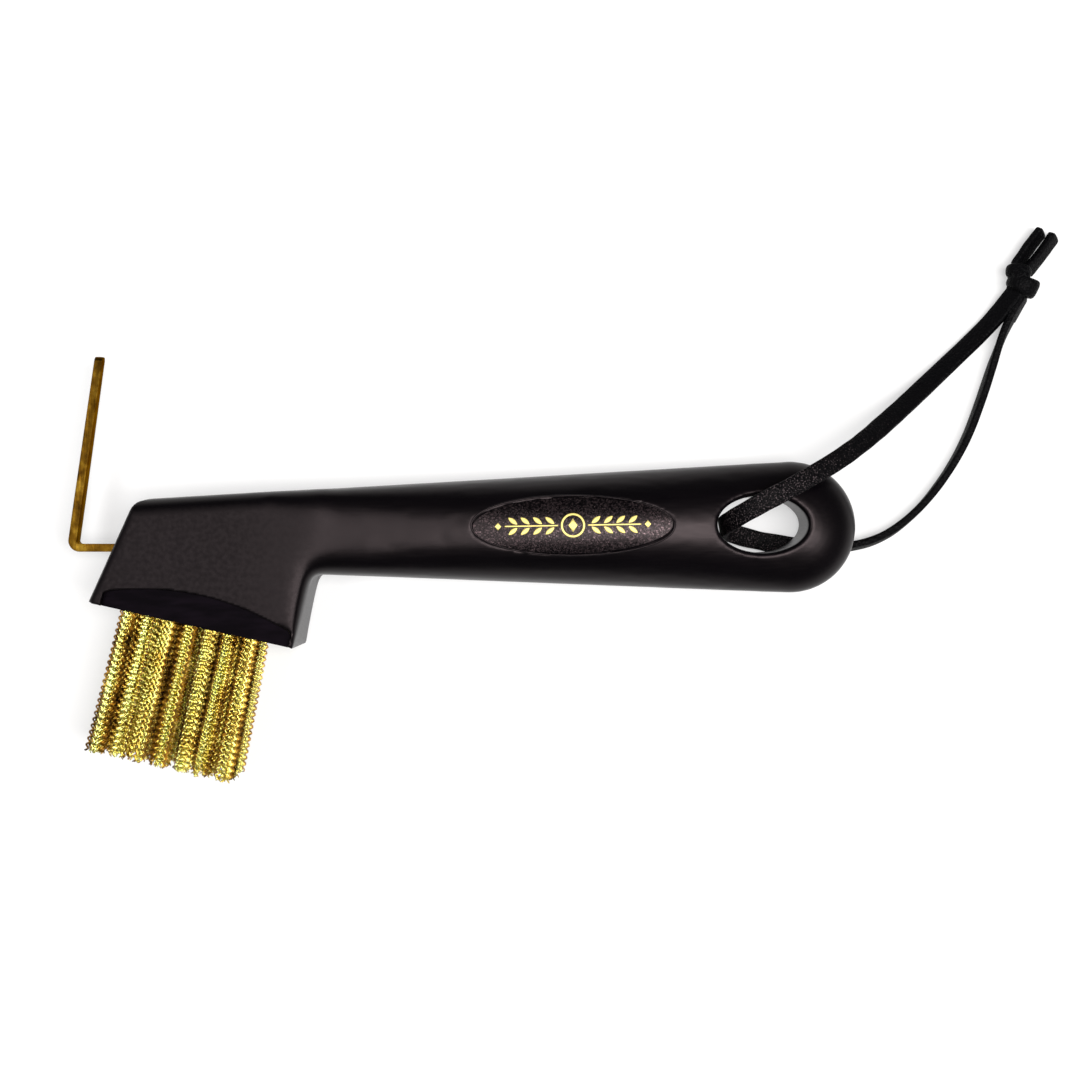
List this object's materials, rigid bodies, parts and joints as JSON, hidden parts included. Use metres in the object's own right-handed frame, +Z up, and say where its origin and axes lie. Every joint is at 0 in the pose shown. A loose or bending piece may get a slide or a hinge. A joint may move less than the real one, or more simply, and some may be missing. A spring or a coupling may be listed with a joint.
{
  "type": "hoof pick",
  "caption": "Hoof pick lying on its side: moulded black handle, bent brass-coloured hook, wire brush head, oval panels and a knotted leather wrist lace.",
  "frame": {"origin": "centre of the pick's footprint without its lace, on the surface it lies on", "axes": "+X along the handle from the hook end to the lace end, +Y the way the hook's leg points (away from the bristles), +Z up, out of the side that faces the viewer"},
  "size_m": [0.2504, 0.1398, 0.0253],
  "materials": {
    "black_moulding": "semi-gloss near-black moulding, matt flat on the head",
    "black_block": "matt black",
    "glitter_panel": "dark inlay with fine sparkle and a pale gold printed ornament",
    "hook_steel": "antique brass plating on steel",
    "brass_wire": "bright crimped wire",
    "brass_clip": "plain",
    "black_leather": "grained black leather"
  },
  "bodies": {
    "pick": {"handle_and_head": "black_moulding", "oval_panel_front": "glitter_panel", "oval_panel_back": "glitter_panel", "hook": "hook_steel", "brush_block": "black_block", "tuft_anchors": "brass_clip", "tuft_1_1": "brass_wire", "tuft_1_2": "brass_wire", "tuft_1_3": "brass_wire", "tuft_1_4": "brass_wire", "tuft_2_1": "brass_wire", "tuft_2_2": "brass_wire", "tuft_2_3": "brass_wire", "tuft_2_4": "brass_wire", "tuft_3_1": "brass_wire", "tuft_3_2": "brass_wire", "tuft_3_3": "brass_wire", "tuft_3_4": "brass_wire", "tuft_4_1": "brass_wire", "tuft_4_2": "brass_wire", "tuft_4_3": "brass_wire", "tuft_4_4": "brass_wire", "tuft_5_1": "brass_wire", "tuft_5_2": "brass_wire", "tuft_5_3": "brass_wire", "tuft_5_4": "brass_wire", "tuft_6_1": "brass_wire", "tuft_6_2": "brass_wire", "tuft_6_3": "brass_wire", "tuft_6_4": "brass_wire", "tuft_7_1": "brass_wire", "tuft_7_2": "brass_wire", "tuft_7_3": "brass_wire", "tuft_7_4": "brass_wire"},
    "lanyard": {"lanyard_front_leg": "black_leather", "lanyard_back_leg": "black_leather", "lanyard_knot": "black_leather", "lanyard_tail_1": "black_leather", "lanyard_tail_2": "black_leather"}
  },
  "joints": [
    {"name": "lanyard_swing", "type": "hinge", "parent": "pick", "child": "lanyard", "pos_m": [0.0652, 0.0104, 0], "axis": [0, 0, 1], "range_deg": [-15, 17]}
  ]
}
